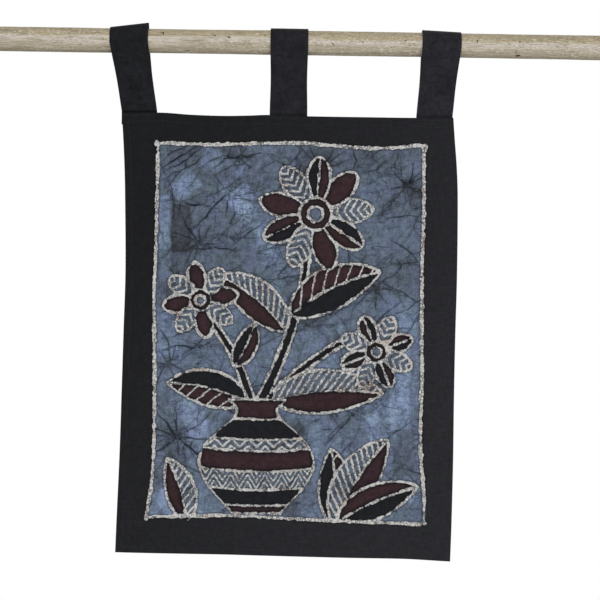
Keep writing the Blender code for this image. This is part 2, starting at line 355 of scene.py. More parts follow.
def wax_pot(foot_x, foot_z, height, half_width):
    """Waxes a round bellied pot in bands, two of them zigzagged."""
    side, up = wax_x - foot_x, wax_z - foot_z
    share = np.clip(up / height, 0, 1)
    beside = np.abs(side) - half_width * read_curve(POT_PROFILE, 1, share)
    edge = np.maximum.reduce([beside, -up, up - height])
    inside = edge < 0
    gap = np.where(inside, -edge, np.minimum(wax_gap, np.abs(edge)))
    for amount in dyes.values():
        amount[inside] = 0
    sagged = share + BAND_SAG * (1 - (side / half_width) ** 2)
    zigzag = np.abs(np.mod(side, ZIGZAG_PITCH) - ZIGZAG_PITCH / 2) / (ZIGZAG_PITCH / 4) - 1
    low = 0.0
    for high, dye, zigzag_height in POT_BANDS:
        band = inside & (sagged > low) & ((sagged <= high) | (high == 1.0))
        for name in dye:
            dyes[name][band] = 1
        gap = np.where(inside, np.minimum(gap, np.abs(sagged - low) * height + BAND_THINNER), gap)
        stripe_run[band] = ((share - low) * height + zigzag_height * zigzag)[band]
        low = high
    wax_gap[:] = gap


BARE, MAROON, VEINED, BLACK, STRIPED = (), ("maroon",), ("maroon", "veined"), ("black",), ("striped",)
STEMS = (
    # start x, start z, heading, length, half width, bend
    (-30, -470, 73, 205, 6.2, 22),
    (-40, -470, 118, 130, 5.6, 30),
    (-20, -470, 38, 150, 5.6, -26),
)
LEAVES = (
    # start x, start z, heading, length, half width, bend, left dye, right dye
    (68, -622, 92, 96, 21, 20, BLACK, VEINED),
    (72, -622, 58, 128, 27, -24, STRIPED, MAROON),
    (76, -620, 24, 112, 22, -16, MAROON, BLACK),
    (-122, -622, 108, 84, 19, 22, MAROON, STRIPED),
    (-48, -466, 168, 104, 23, 26, VEINED, BLACK),
    (-10, -464, 4, 142, 28, -24, STRIPED, MAROON),
    (2, -372, 142, 112, 24, 30, MAROON, STRIPED),
    (12, -352, 26, 128, 27, -30, VEINED, BLACK),
    (-62, -420, 66, 62, 14, 20, BLACK, MAROON),
)
FLOWERS = (
    # centre x, centre z, petals, reach, turn, the dyes of its petals' two halves
    (40, -222, 9, 70, 6, ((STRIPED, STRIPED), (MAROON, MAROON), (BLACK, MAROON))),
    (-108, -336, 8, 46, 10, ((MAROON, MAROON), (STRIPED, STRIPED))),
    (122, -400, 8, 46, 22, ((MAROON, BLACK), (STRIPED, STRIPED))),
)
POT_PROFILE = (
    # share of the height, half width as a share of the widest
    (0.00, 0.42), (0.10, 0.60), (0.25, 0.86), (0.42, 1.00), (0.58, 0.93),
    (0.72, 0.68), (0.83, 0.42), (0.92, 0.36), (1.00, 0.50),
)
POT_BANDS = (
    # up to this share of the height, its dye, how high its zigzags are
    (0.10, MAROON, 0), (0.24, BLACK, 0), (0.40, STRIPED, 9), (0.58, MAROON, 0),
    (0.68, STRIPED, 5), (0.86, BLACK, 0), (1.00, MAROON, 0),
)
for x, z, heading, length, half_width, bend in STEMS:
    wax_shape("stem", (x, z), heading, length, half_width, bend, BLACK, BLACK)
for x, z, heading, length, half_width, bend, left_dye, right_dye in LEAVES:
    wax_shape("leaf", (x, z), heading, length, half_width, bend, left_dye, right_dye)
for x, z, petals, reach, turn, petal_dyes in FLOWERS:
    wax_flower((x, z), petals, reach, turn, petal_dyes)
wax_pot(-32, -612, 148, 74)

# The wax line that frames the picture wanders by a few millimetres, and has a drop at each corner.
FRAME_SIDES = (
    # height, left line, right line
    (-640, -174.5, 187.6), (-619, -173.5, 187.0), (-597, -170.9, 186.6), (-578, -168.0, 185.8),
    (-526, -165.6, 181.2), (-456, -165.9, 181.1), (-422, -166.3, 181.1), (-324, -168.6, 179.7),
    (-290, -167.5, 179.4), (-205, -166.4, 180.6), (-133, -166.3, 179.6), (-110, -166.3, 179.6),
)
FRAME_ENDS = (
    # along the rod, top line, foot line
    (-190, -132.5, -619.2), (-130, -133.0, -617.1), (-99, -134.0, -616.3), (-65, -132.5, -615.4),
    (18, -129.8, -618.3), (57, -132.5, -619.5), (122, -135.4, -621.4), (174, -130.7, -622.6),
    (200, -130.7, -623.0),
)
FRAME_CORNERS = ((-166.6, -133.2), (180.6, -131.9), (-173.6, -619.4), (187.0, -621.6))
FRAME_HALF_LINE = 0.6
WAX_DROP = 2.4
picture = np.minimum.reduce([
    wax_x - read_curve(FRAME_SIDES, 1, wax_z), read_curve(FRAME_SIDES, 2, wax_z) - wax_x,
    read_curve(FRAME_ENDS, 1, wax_x) - wax_z, wax_z - read_curve(FRAME_ENDS, 2, wax_x),
])
wax_gap = np.where(picture > 0, wax_gap, FAR_FROM_WAX)
wax_gap = np.minimum(wax_gap, np.abs(picture) - FRAME_HALF_LINE)
for corner_x, corner_z in FRAME_CORNERS:
    drop = np.hypot(wax_x - corner_x, wax_z - corner_z) - WAX_DROP
    wax_gap = np.minimum(wax_gap, np.maximum(drop, 0))
# The wax ran thicker and thinner from the tool: by how much, over what length, and the seed.
for amount, size, seed in ((1.1, 26.0, 31.0), (1.2, 7.0, 37.0)):
    wax_gap += amount * uneven(wax_x, 0.0, wax_z, size, seed)

# Brush strokes in the slate ground, where the dye was laid twice or kept off: where they run, how wide and
# soft they are, and how much lighter or darker. Smaller ones are scattered from a fixed seed.
BRUSH_STROKES = (
    # start x, start z, end x, end z, half width, edge, lighter
    (-157, -200, -154, -312, 7, 1.2, 0.30),
    (-134, -212, -135, -274, 13, 1.4, -0.30),
    (-134, -262, -132, -340, 12, 8.0, -0.14),
    (-144, -200, -116, -176, 12, 1.4, 0.30),
    (-106, -146, -82, -158, 13, 2.0, 0.26),
    (-70, -150, -52, -166, 12, 2.0, 0.20),
    (-66, -190, -44, -222, 16, 1.4, 0.30),
    (-150, -146, -60, -140, 9, 9.0, -0.14),
    (20, -150, 56, -160, 22, 9.0, -0.20),
    (-118, -440, -112, -500, 15, 2.0, 0.20),
    (-120, -510, -96, -504, 12, 1.4, 0.24),
    (-150, -596, -96, -594, 17, 9.0, 0.20),
    (-140, -530, -128, -556, 10, 2.0, -0.16),
    (-74, -486, -56, -520, 8, 2.0, -0.18),
    (-148, -352, -146, -410, 14, 6.0, 0.14),
    (150, -330, 156, -380, 18, 6.0, 0.10),
    (152, -378, 154, -500, 13, 1.4, 0.20),
    (127, -412, 134, -486, 5, 1.2, -0.18),
    (112, -480, 124, -530, 12, 1.4, 0.16),
    (79, -372, 86, -420, 13, 3.0, -0.20),
    (-150, -330, -140, -350, 10, 1.4, 0.18),
    (-70, -440, -64, -474, 9, 1.4, 0.16),
    (30, -300, 36, -340, 14, 3.0, -0.14),
    (92, -300, 120, -296, 13, 1.6, 0.14),
    (162, -500, 158, -570, 13, 2.0, -0.14),
    (110, -486, 140, -460, 16, 3.0, 0.16),
    (10, -596, 44, -590, 17, 5.0, -0.14),
    (-30, -310, 4, -280, 24, 8.0, 0.12),
    (158, -150, 162, -180, 14, 3.0, 0.10),
    (-155, -268, -154, -342, 10, 6.0, -0.24),
    (-153, -462, -152, -530, 9, 6.0, -0.12),
    (-158, -560, -158, -612, 9, 6.0, -0.14),
    (-118, -488, -116, -524, 12, 5.0, 0.08),
    (84, -142, 142, -160, 14, 4.0, -0.10),
    (164, -345, 164, -385, 12, 4.0, 0.10),
    (146, -462, 148, -522, 20, 6.0, 0.08),
)
SCATTERED_STROKES = 60
# Strokes and cracks wander by this much over this length.
WANDER, WANDER_SIZE = 2.2, 14.0
draw = np.random.default_rng(5)
brush_strokes = list(BRUSH_STROKES)
for _ in range(SCATTERED_STROKES):
    start_x, start_z = draw.uniform(-160, 175), draw.uniform(-610, -140)
    heading, length = draw.normal(math.radians(75), 0.6), draw.uniform(12, 55)
    end_x, end_z = start_x + length * math.cos(heading), start_z - length * math.sin(heading)
    half_width, edge, lighter = draw.uniform(4, 14), draw.uniform(0.6, 2.0), draw.uniform(-0.24, 0.24)
    brush_strokes.append((start_x, start_z, end_x, end_z, half_width, edge, lighter))
# The ground lies in broad clouds round its middle tone, and is lighter in its lower half.
MIDDLE_TONE, CLOUD_TONE, CLOUD_SIZE, LOWER_TONE = 0.50, 0.14, 46.0, 0.13
ground_tone = MIDDLE_TONE + CLOUD_TONE * uneven(wax_x, 0.0, wax_z, CLOUD_SIZE, seed=11.0)
ground_tone += LOWER_TONE * np.clip((-wax_z - 300) / 120, 0, 1)
wander_x = wax_x + WANDER * uneven(wax_x, 0.0, wax_z, WANDER_SIZE, seed=17.0)
wander_z = wax_z + WANDER * uneven(wax_x, 0.0, wax_z, WANDER_SIZE, seed=23.0)
for start_x, start_z, end_x, end_z, half_width, edge, lighter in brush_strokes:
    length = math.hypot(end_x - start_x, end_z - start_z)
    run_x, run_z = (end_x - start_x) / length, (end_z - start_z) / length
    along = (wander_x - start_x) * run_x + (wander_z - start_z) * run_z
    aside = np.abs((wander_z - start_z) * run_x - (wander_x - start_x) * run_z)
    outside = np.maximum(aside - half_width, np.abs(along - length / 2) - length / 2)
    ground_tone += lighter * np.clip(0.5 - outside / (2 * edge), 0, 1)

# The main cracks, where the wax broke and let dye in.
MAIN_CRACKS = (
    # strength and half width in mm, then the points it runs through in mm
    (1.0, 1.0, ((-163, -165), (-140, -152), (-112, -134))),
    (1.0, 0.9, ((-159, -170), (-132, -156), (-108, -137))),
    (0.9, 0.7, ((-155, -191), (-133, -165), (-122, -144))),
    (1.0, 1.3, ((-94, -164), (-79, -153), (-59, -148), (-40, -150))),
    (1.0, 1.1, ((-123, -248), (-104, -229), (-87, -208), (-72, -195), (-55, -183))),
    (0.9, 0.7, ((-74, -205), (-59, -200), (-30, -192))),
    (0.8, 0.6, ((-68, -205), (-66, -223))),
    (1.0, 0.7, ((-68, -264), (-45, -247), (-30, -236))),
    (1.0, 0.7, ((-129, -271), (-90, -268), (-58, -271))),
    (0.9, 0.7, ((-109, -311), (-81, -303), (-57, -290))),
    (0.9, 0.7, ((-152, -365), (-109, -336))),
    (1.0, 1.2, ((124, -222), (156, -186), (175, -165))),
    (0.9, 0.8, ((130, -226), (152, -223), (176, -222))),
    (0.9, 0.8, ((137, -254), (158, -266), (177, -282))),
    (0.9, 0.7, ((144, -287), (177, -281))),
    (1.0, 1.5, ((-166, -478), (-136, -514), (-105, -539), (-84, -556))),
    (1.0, 0.8, ((-145, -525), (-136, -514), (-126, -499))),
    (1.0, 1.5, ((-131, -211), (-118, -212), (-104, -211))),
    (0.9, 0.8, ((-162, -156), (-138, -140), (-126, -134))),
    (0.9, 0.7, ((-163, -184), (-146, -172), (-120, -160), (-104, -146))),
    (0.8, 0.6, ((-96, -176), (-70, -160), (-44, -158))),
    (0.8, 0.6, ((-118, -206), (-88, -196), (-60, -178), (-44, -172))),
    (0.9, 0.7, ((-160, -388), (-120, -376), (-70, -352))),
    (1.0, 1.0, ((-164, -404), (-138, -396), (-112, -398), (-84, -386))),
    (0.9, 0.8, ((-160, -372), (-150, -392), (-147, -424))),
    (0.9, 0.8, ((-130, -408), (-110, -392), (-100, -380))),
    (0.9, 0.7, ((88, -138), (92, -152), (84, -166))),
    (0.8, 0.6, ((110, -136), (114, -150), (126, -158))),
    (0.9, 0.7, ((130, -150), (118, -164), (98, -168))),
    (0.8, 0.6, ((146, -140), (142, -156), (150, -170))),
)
# Where the cloth was pinched, cracks spread like a star.
CRACK_STARS = (
    # x, z, rays, reach
    (47, -162, 11, 44), (158, -184, 9, 34), (-136, -514, 10, 50), (-112, -262, 9, 34), (-60, -151, 8, 30),
    (118, -318, 8, 38), (62, -474, 9, 36), (-150, -420, 7, 34),
)
# Most cracks run up to the right or nearly level.
CRACK_HEADINGS = (
    # heading, how much it varies, how often
    (36, 10, 0.42), (6, 9, 0.26), (-38, 12, 0.14), (74, 12, 0.18),
)
SCATTERED_CRACKS = 170
CRACK_STEP = 6
# How far from a crack points learn of it, where its dye is gone, and how much weaker its two ends are.
CRACK_REACH, CRACK_FADE, CRACK_END_WEAKER = 4.6, 2.7, 0.6
# The middle of a star is darker, over this share of its reach.
STAR_DARKER, STAR_SHARE = 0.26, 0.3


def crack_path(x, z, heading, length):
    """A wandering crack from a point, in short steps that each turn a little."""
    steps = max(2, round(length / CRACK_STEP))
    turn = np.radians(heading + np.cumsum(draw.normal(0, 6, steps)))
    path_x = x + np.concatenate(([0], np.cumsum(np.cos(turn)))) * length / steps
    path_z = z + np.concatenate(([0], np.cumsum(np.sin(turn)))) * length / steps
    return list(zip(path_x, path_z))


crack_lines = list(MAIN_CRACKS)
for x, z, rays, reach in CRACK_STARS:
    from_star = (wander_x - x) ** 2 + (wander_z - z) ** 2
    ground_tone -= STAR_DARKER * np.exp(-from_star / (STAR_SHARE * reach) ** 2)
    for ray in range(rays):
        path = crack_path(x, z, 360 * ray / rays + draw.normal(0, 14), reach * draw.uniform(0.45, 1.2))
        crack_lines.append((draw.uniform(0.75, 1.0), draw.uniform(0.5, 0.9), path))
for _ in range(SCATTERED_CRACKS):
    choice = draw.choice(len(CRACK_HEADINGS), p=[how_often for *_, how_often in CRACK_HEADINGS])
    heading, spread, _ = CRACK_HEADINGS[choice]
    x, z = draw.uniform(-166, 170), draw.uniform(-612, -140)
    path = crack_path(x, z, draw.normal(heading, spread), draw.uniform(22, 90))
    strength = draw.uniform(0.45, 1.0)
    crack_lines.append((strength, draw.uniform(0.34, 0.8), path))
    for _ in range(draw.integers(0, 4)):
        fork = path[draw.integers(0, len(path))]
        side = heading + draw.choice((-1, 1)) * draw.uniform(22, 60)
        half_width = draw.uniform(0.3, 0.5)
        crack_lines.append((strength * 0.8, half_width, crack_path(*fork, side, draw.uniform(8, 30))))
# Each point near a crack learns which side of it it is on and how far off, in the crack's half widths.
crack = np.zeros(wax_x.shape)
crack_side = np.full(wax_x.shape, 9.0)
crack_near = np.full(wax_x.shape, CRACK_REACH)
for strength, half_width, path in crack_lines:
    for step, ((start_x, start_z), (end_x, end_z)) in enumerate(zip(path, path[1:])):
        (low_x, high_x), (low_z, high_z) = sorted((start_x, end_x)), sorted((start_z, end_z))
        near = (wander_x > low_x - CRACK_REACH) & (wander_x < high_x + CRACK_REACH)
        near &= (wander_z > low_z - CRACK_REACH) & (wander_z < high_z + CRACK_REACH)
        near = np.flatnonzero(near)
        run_x, run_z = end_x - start_x, end_z - start_z
        away_x, away_z = wander_x[near] - start_x, wander_z[near] - start_z
        share = np.clip((away_x * run_x + away_z * run_z) / (run_x ** 2 + run_z ** 2), 0, 1)
        distance = np.hypot(away_x - share * run_x, away_z - share * run_z)
        closer = distance < crack_near[near]
        near, distance = near[closer], distance[closer]
        crack_near[near] = distance
        side = np.sign(away_z * run_x - away_x * run_z)[closer]
        crack_side[near] = np.where(side < 0, -distance, distance) / half_width
        ending = np.abs(2 * (step + share[closer]) / (len(path) - 1) - 1) ** 3
        crack[near] = strength * (1 - CRACK_END_WEAKER * ending) * np.clip(CRACK_FADE - distance, 0, 1)


def linear(colour):
    """An sRGB hex colour as linear RGBA."""
    shares = [int(colour[place:place + 2], 16) / 255 for place in (1, 3, 5)]
    return [s / 12.92 if s <= 0.04045 else ((s + 0.055) / 1.055) ** 2.4 for s in shares] + [1.0]


# Each point's dye. The black that was laid last has crept up to 7 mm under the wax into the maroon.
GROUND_DYES = ("#333539", "#454a54", "#586271", "#6a788f", "#8090ab")
tones = np.array([linear(colour) for colour in GROUND_DYES])
place = np.clip(ground_tone, 0, 0.999) * (len(tones) - 1)
step = place.astype(int)
dye = mix(tones[step], tones[step + 1], (place - step)[:, None])
crept = 0.75 * np.clip((7.0 - wax_gap) / 4.5, 0, 1)
maroon = mix(np.array(linear("#37262a")), np.array(linear("#17181b")), crept[:, None])
between_stripes = np.array(linear("#545e6b"))
for name, colour in (("maroon", maroon), ("black", linear("#1c1d21")), ("striped", between_stripes)):
    dye = mix(dye, np.array(colour), dyes[name][:, None])
# The black rim is a little lighter towards its right side and its foot: shares over 440 and 570 mm.
LIGHTER_ACROSS, LIGHTER_DOWN = 0.8, 0.66
lighter_right_and_foot = np.clip(0.5 + wax_x / 440 * LIGHTER_ACROSS - (wax_z + 380) / 570 * LIGHTER_DOWN, 0, 1)[:, None]
rim_black = mix(np.array(linear("#191a1c")), np.array(linear("#27272b")), lighter_right_and_foot)
dye = np.where((picture < 0)[:, None], rim_black, dye)
# Cracks show in the ground, and hardly at all in what was dyed over or in the rim.
open_ground = np.where(picture < 0, 0.0, 1 - 0.7 * np.maximum(dyes["maroon"], dyes["black"]))


def add_node(tree, kind, inputs=(), out=0, **settings):
    """Adds a node and gives back one of its outputs. Inputs are by name, or in order, as in a Math node
    or a Map Range node (value, from low, from high, to low, to high). Each is a value or an output."""
    node = tree.nodes.new("ShaderNode" + kind)
    for name, value in settings.items():
        setattr(node, name, value)
    named = inputs if isinstance(inputs, dict) else dict(enumerate(inputs))
    for name, value in named.items():
        if isinstance(value, bpy.types.NodeSocket):
            tree.links.new(value, node.inputs[name])
        else:
            node.inputs[name].default_value = value
    return node.outputs[out]


def new_material(name, roughness, ior, specular, sheen=0.0):
    """A material, its node tree, its shader with what is the same all over, and places in millimetres."""
    material = bpy.data.materials.new(name)
    material.use_nodes = True
    tree = material.node_tree
    shader = tree.nodes["Principled BSDF"]
    shader.inputs["Roughness"].default_value = roughness
    shader.inputs["IOR"].default_value = ior
    shader.inputs["Specular IOR Level"].default_value = specular
    shader.inputs["Sheen Weight"].default_value = sheen
    place = add_node(tree, "TexCoord", out="Object")
    millimetres = add_node(tree, "VectorMath", {0: place, "Scale": 1 / MM}, operation="SCALE")
    return material, tree, shader, millimetres


def thread_slubs(tree, millimetres, along, through, across):
    """Thick and thin places in the weft and the warp, by how many there are to a millimetre each way."""
    threads = []
    for squeeze in ((along, through, across), (across, through, along)):
        squeezed = add_node(tree, "VectorMath", (millimetres, squeeze), operation="MULTIPLY")
        threads.append(add_node(
            tree, "TexNoise", {"Vector": squeezed, "Scale": 1.0, "Detail": 2.0, "Roughness": 0.6},
        ))
    return add_node(tree, "Math", threads, operation="ADD")


# Plain woven cotton, wax resist dyed: quite matt, a little uneven in every thread, and soaked through, so
# the back shows the same picture. Cracked wax leaves hairlines of dye, and broken edges to every line.
batik_cotton, tree, shader, millimetres = new_material(
    "wax resist dyed plain weave cotton", roughness=0.88, ior=1.47, specular=0.12, sheen=0.04,
)
point_values = {
    "wax_gap": wax_gap, "stripe_run": stripe_run, "striped": dyes["striped"], "veined": dyes["veined"],
    "crack": crack, "crack_side": crack_side, "open_ground": open_ground,
    "reverse": np.concatenate((np.zeros(len(face_points)), np.ones(len(back_points)))),
}
field = {name: add_node(tree, "Attribute", out="Fac", attribute_name=name) for name in point_values}
dyed = add_node(tree, "Attribute", out="Color", attribute_name="dye")

# The wax line: about 4 mm wide, with an edge that wobbles by half a millimetre.
wobble = add_node(tree, "TexNoise", {"Vector": millimetres, "Scale": 0.20, "Detail": 4.0, "Roughness": 0.7})
ragged_gap = add_node(tree, "Math", (wobble, 5.0, field["wax_gap"]), operation="MULTIPLY_ADD")
ragged_run = add_node(tree, "Math", (wobble, 7.0, field["stripe_run"]), operation="MULTIPLY_ADD")
line = add_node(tree, "MapRange", (ragged_gap, 3.85, 4.5, 1.0, 0.0))
# Waxed stripes about 9 mm apart, and veins about 17 mm apart.
for name, half_pitch, half_line in (("striped", 4.7, 1.85), ("veined", 8.5, 1.35)):
    away = add_node(tree, "Math", (ragged_run, half_pitch), operation="PINGPONG")
    stripe = add_node(tree, "MapRange", (away, half_line - 0.4, half_line + 0.4, 1.0, 0.0))
    stripe = add_node(tree, "Math", (stripe, field[name]), operation="MULTIPLY")
    line = add_node(tree, "Math", (line, stripe), operation="MAXIMUM")

# Clouds of several sizes in the dye and in the wear of the wax, each stretched between two levels.
clouds = {}
for name, scale, detail, roughness, *levels in (
    # name, how many to a millimetre, detail, roughness, from low, from high, to low, to high
    ("plates_shown", 0.017, 1.0, 0.5, 0.50, 0.62, 0.0, 1.0),
    ("mottle", 0.15, 7.0, 0.82, 0.28, 0.72, -0.64, 0.68),
    ("cast", 0.055, 3.0, 0.6, 0.38, 0.62, 0.0, 1.0),
    ("notched", 0.045, 2.0, 0.5, 0.43, 0.53, 0.30, 1.0),
    ("soiled", 0.42, 3.0, 0.7, 0.49, 0.64, 0.0, 0.80),
    ("pinkish", 0.03, 2.0, 0.5, 0.56, 0.70, 0.0, 0.8),
):
    cloud = add_node(
        tree, "TexNoise", {"Vector": millimetres, "Scale": scale, "Detail": detail, "Roughness": roughness},
    )
    clouds[name] = add_node(tree, "MapRange", (cloud, *levels))

# The drawn cracks, with a hair's wobble. Dye crept a few millimetres from each, in a weak smudge.
cracks = add_node(tree, "Math", (wobble, 2.4, field["crack_side"]), operation="MULTIPLY_ADD")
cracks = add_node(tree, "Math", (cracks, 1.2), operation="SUBTRACT")
cracks = add_node(tree, "Math", (cracks,), operation="ABSOLUTE")
cracks = add_node(tree, "MapRange", (cracks, 0.5, 1.6, 1.0, 0.0))
smudge = add_node(tree, "Math", (field["crack_side"],), operation="ABSOLUTE")
smudge = add_node(tree, "MapRange", (smudge, 0.5, 5.0, 0.42, 0.0))
cracks = add_node(tree, "Math", (cracks, smudge), operation="MAXIMUM")
# Wax is laid on the face, and its sharpest cracks stay there.
on_face = add_node(tree, "Math", (1.0, field["reverse"]), operation="SUBTRACT")
for share in (field["crack"], on_face):
    cracks = add_node(tree, "Math", (cracks, share), operation="MULTIPLY")
# Finer cracks in four slanting sets. A line of a noise's middle value is drawn about 0.4 mm wide, and broad
# noise fades each set.
for angle, stretch, size, line_width, shown_above in (
    (38, 5.6, 0.056, 0.010, 0.45), (6, 6.4, 0.060, 0.009, 0.48), (-40, 4.6, 0.052, 0.008, 0.52),
    (74, 5.0, 0.064, 0.009, 0.48),
):
    turned = add_node(
        tree, "Mapping",
        {"Vector": millimetres, "Rotation": (0, -math.radians(angle), 0), "Scale": (stretch, 1.0, 1.0)},
        vector_type="TEXTURE",
    )
    lines = add_node(tree, "TexNoise", {"Vector": turned, "Scale": size, "Detail": 2.0, "Distortion": 0.15})
    lines = add_node(tree, "Math", (lines, 0.5), operation="SUBTRACT")
    lines = add_node(tree, "Math", (lines,), operation="ABSOLUTE")
    lines = add_node(tree, "MapRange", (lines, 0.0, line_width, 0.75, 0.0))
    shown = add_node(tree, "TexNoise", {"Vector": millimetres, "Scale": size * 0.5, "Detail": 1.0})
    shown = add_node(tree, "MapRange", (shown, shown_above - 0.05, shown_above + 0.10))
    lines = add_node(tree, "Math", (lines, shown), operation="MULTIPLY")
    cracks = add_node(tree, "Math", (cracks, lines), operation="MAXIMUM")
# A network of angular plates about 30 mm across, where the wax broke up.
plates = add_node(
    tree, "TexVoronoi", {"Vector": millimetres, "Scale": 0.034, "Detail": 1.0, "Roughness": 0.4},
    feature="DISTANCE_TO_EDGE",
)
plates = add_node(tree, "MapRange", (plates, 0.0, 0.022, 0.6, 0.0))
plates = add_node(tree, "Math", (plates, clouds["plates_shown"]), operation="MULTIPLY")
cracks = add_node(tree, "Math", (cracks, plates), operation="MAXIMUM")
cracks = add_node(tree, "Math", (cracks, field["open_ground"]), operation="MULTIPLY")

# The dye is mottled in spots from about 7 mm down, most in the open ground and least in the rim. Real threads
# are 0.45 mm apart. They are drawn 2.5 times coarser, as slubs that run both ways.
mottle_share = add_node(tree, "MapRange", (field["open_ground"], 0.0, 1.0, 0.38, 1.0))
shade = add_node(tree, "Math", (clouds["mottle"], mottle_share, 1.0), operation="MULTIPLY_ADD")
slubs = thread_slubs(tree, millimetres, 1 / 10, 0.3, 0.9)
slub_shade = add_node(tree, "MapRange", (slubs, 0.7, 1.3, 0.74, 1.26))
crack_shade = add_node(tree, "MapRange", (cracks, 0.0, 1.0, 1.0, 0.10))
# Dye gathers in a dark rim about a millimetre wide along each wax line.
gathered = add_node(tree, "MapRange", (ragged_gap, 4.6, 6.4, 0.42, 1.0))
for darker in (slub_shade, crack_shade, gathered):
    shade = add_node(tree, "Math", (shade, darker), operation="MULTIPLY")
# The slate leans to violet in some clouds and to green in others.
VIOLET_CAST, GREEN_CAST = (1.01, 0.98, 1.07, 1.0), (0.98, 1.02, 0.95, 1.0)
cast = add_node(tree, "Mix", {0: clouds["cast"], 6: VIOLET_CAST, 7: GREEN_CAST}, out=2, data_type="RGBA")
dyed = add_node(tree, "Mix", {0: 1.0, 6: dyed, 7: cast}, out=2, data_type="RGBA", blend_type="MULTIPLY")
dyed = add_node(tree, "VectorMath", {0: dyed, "Scale": shade}, operation="SCALE")

# Bare cotton under the wax: cream, in places pinkish, with grey notches every 3 to 6 mm across the line.
notches = add_node(tree, "TexVoronoi", {"Vector": millimetres, "Scale": 0.24}, feature="DISTANCE_TO_EDGE")
notches = add_node(tree, "MapRange", (notches, 0.03, 0.16, 0.9, 0.0))
notches = add_node(tree, "Math", (notches, clouds["notched"]), operation="MULTIPLY")
notches = add_node(tree, "Math", (notches, clouds["soiled"]), operation="MAXIMUM")
bare = linear("#d0cfcd")
for share, colour in ((clouds["pinkish"], "#c4b0a6"), (notches, "#303135")):
    bare = add_node(tree, "Mix", {0: share, 6: bare, 7: linear(colour)}, out=2, data_type="RGBA")
waxed = add_node(tree, "Math", (cracks, -0.45, line), operation="MULTIPLY_ADD", use_clamp=True)
waxed = add_node(tree, "Math", (waxed, line), operation="MULTIPLY")
# The dye soaks through a little weaker, so the back is greyer.
paler = add_node(tree, "Math", (field["reverse"], 0.22), operation="MULTIPLY")
for share, colour in ((waxed, bare), (paler, linear("#5c5f66"))):
    dyed = add_node(tree, "Mix", {0: share, 6: dyed, 7: colour}, out=2, data_type="RGBA")
relief = add_node(tree, "Math", (cracks, -0.6, slubs), operation="MULTIPLY_ADD")
bump = add_node(tree, "Bump", {"Height": relief, "Strength": 0.5, "Distance": 0.0003})
tree.links.new(dyed, shader.inputs["Base Color"])
tree.links.new(bump, shader.inputs["Normal"])


def store(thing, name, values, kind="FLOAT", part="value"):
    """Keeps a value at each point of a piece, for its material to read."""
    attribute = thing.data.attributes.new(name, kind, "POINT")
    attribute.data.foreach_set(part, values.astype(np.float32).ravel())


panel = mesh_object("batik_panel", np.concatenate((face_points, back_points)), panel_faces, batik_cotton)
for name, values in point_values.items():
    store(panel, name, values)
store(panel, "dye", dye, "FLOAT_COLOR", "color")
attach(panel, "root")
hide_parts("cloth")

# The three tabs
# Each is a folded strip of the same cotton, dyed black, topstitched along both edges. It goes over the
# rod, and both its ends are sewn behind the panel's top hem.
ROD_RADIUS = 0.0160
TAB_THICKNESS = 0.0008
TAB_OVERLAP = 0.015
TAB_ROD_GAP = 0.0005
TAB_WAIST = 0.0016
TAB_BOW = 0.0012
TAB_ROUND = ROD_RADIUS + TAB_ROD_GAP + TAB_THICKNESS / 2
TAB_FOLD_WIDTH = 0.2
TAB_CREASE, TAB_CREASE_SIZE = 0.0006, 0.016
TAB_SLACK, TAB_SLACK_SIZE = 0.10, 0.007
# Painted shade darkens a tab where it goes in behind the panel's top edge, and fades out this far above it:
# in depths, and one depth.
TUCK_SHADE_START, TUCK_SHADE_DEPTH = 1.6, 0.0025
SEAM_CLEARANCE = 0.0015
PIECE_GAP = 0.0004
# Where a tab leaves the rod's round, in half turns from straight back.
LEAVES_FRONT, LEAVES_BACK = 1.05, -0.05
TAB_SEAM_ROWS, TAB_LEG_ROWS, TAB_ARC_ROWS = 8, 30, 44
# A tab leans from the rod to its seam, narrows a little, and stands off the rod where its fold is slack.
TABS = {
    "tab_left": {
        "rod_x": -0.2056, "seam_x": -0.1912, "rod_width": 0.0500, "seam_width": 0.0461,
        "lift_left": 0.0000, "lift_right": 0.0064,
        "fold_at_rod": 0.25, "fold_at_seam": 0.72, "fold_forward": 0.0018, "painted_tuck_shade": 1.0,
    },
    "tab_middle": {
        "rod_x": 0.0025, "seam_x": 0.0027, "rod_width": 0.0490, "seam_width": 0.0490,
        "lift_left": 0.0015, "lift_right": 0.0014,
        "fold_at_rod": 0.55, "fold_at_seam": 0.45, "fold_forward": 0.0008, "painted_tuck_shade": 0.4,
    },
    "tab_right": {
        "rod_x": 0.2002, "seam_x": 0.1926, "rod_width": 0.0508, "seam_width": 0.0472,
        "lift_left": 0.0022, "lift_right": 0.0000,
        "fold_at_rod": 0.70, "fold_at_seam": 0.35, "fold_forward": 0.0014, "painted_tuck_shade": 0.35,
    },
}
# How far in from a tab's edge its stations are, as shares of half its width, and how thick it is there
# as a share of its full thickness: round at the folded edge, and pulled in along the topstitching.
TOPSTITCHED = 0.180
TAB_PROFILE = (
    # in from the edge, thickness
    (0.000, 0.00), (0.006, 0.42), (0.016, 0.68), (0.034, 0.90), (0.060, 1.02), (0.100, 1.08), (0.130, 1.02),
    (0.155, 0.84), (0.180, 0.70), (0.205, 0.84), (0.235, 0.96), (0.300, 1.00), (0.400, 1.00), (0.520, 1.00),
    (0.660, 1.00), (0.820, 1.00),
)


def tab_x(tab, across, down):
    """How far along the rod a point of a tab is, by its shares across and down from rod to seam."""
    width = mix(tab["rod_width"], tab["seam_width"], down) - TAB_WAIST * math.sin(math.pi * down) ** 2
    return mix(tab["rod_x"], tab["seam_x"], down) + (across - 0.5) * width


def panel_top(x):
    """The height of the panel's top edge at a distance along the rod."""
    left, right = SIDE_EDGES[0][1:]
    return read_curve(TOP_AND_FOOT, 1, (x - left) / (right - left))


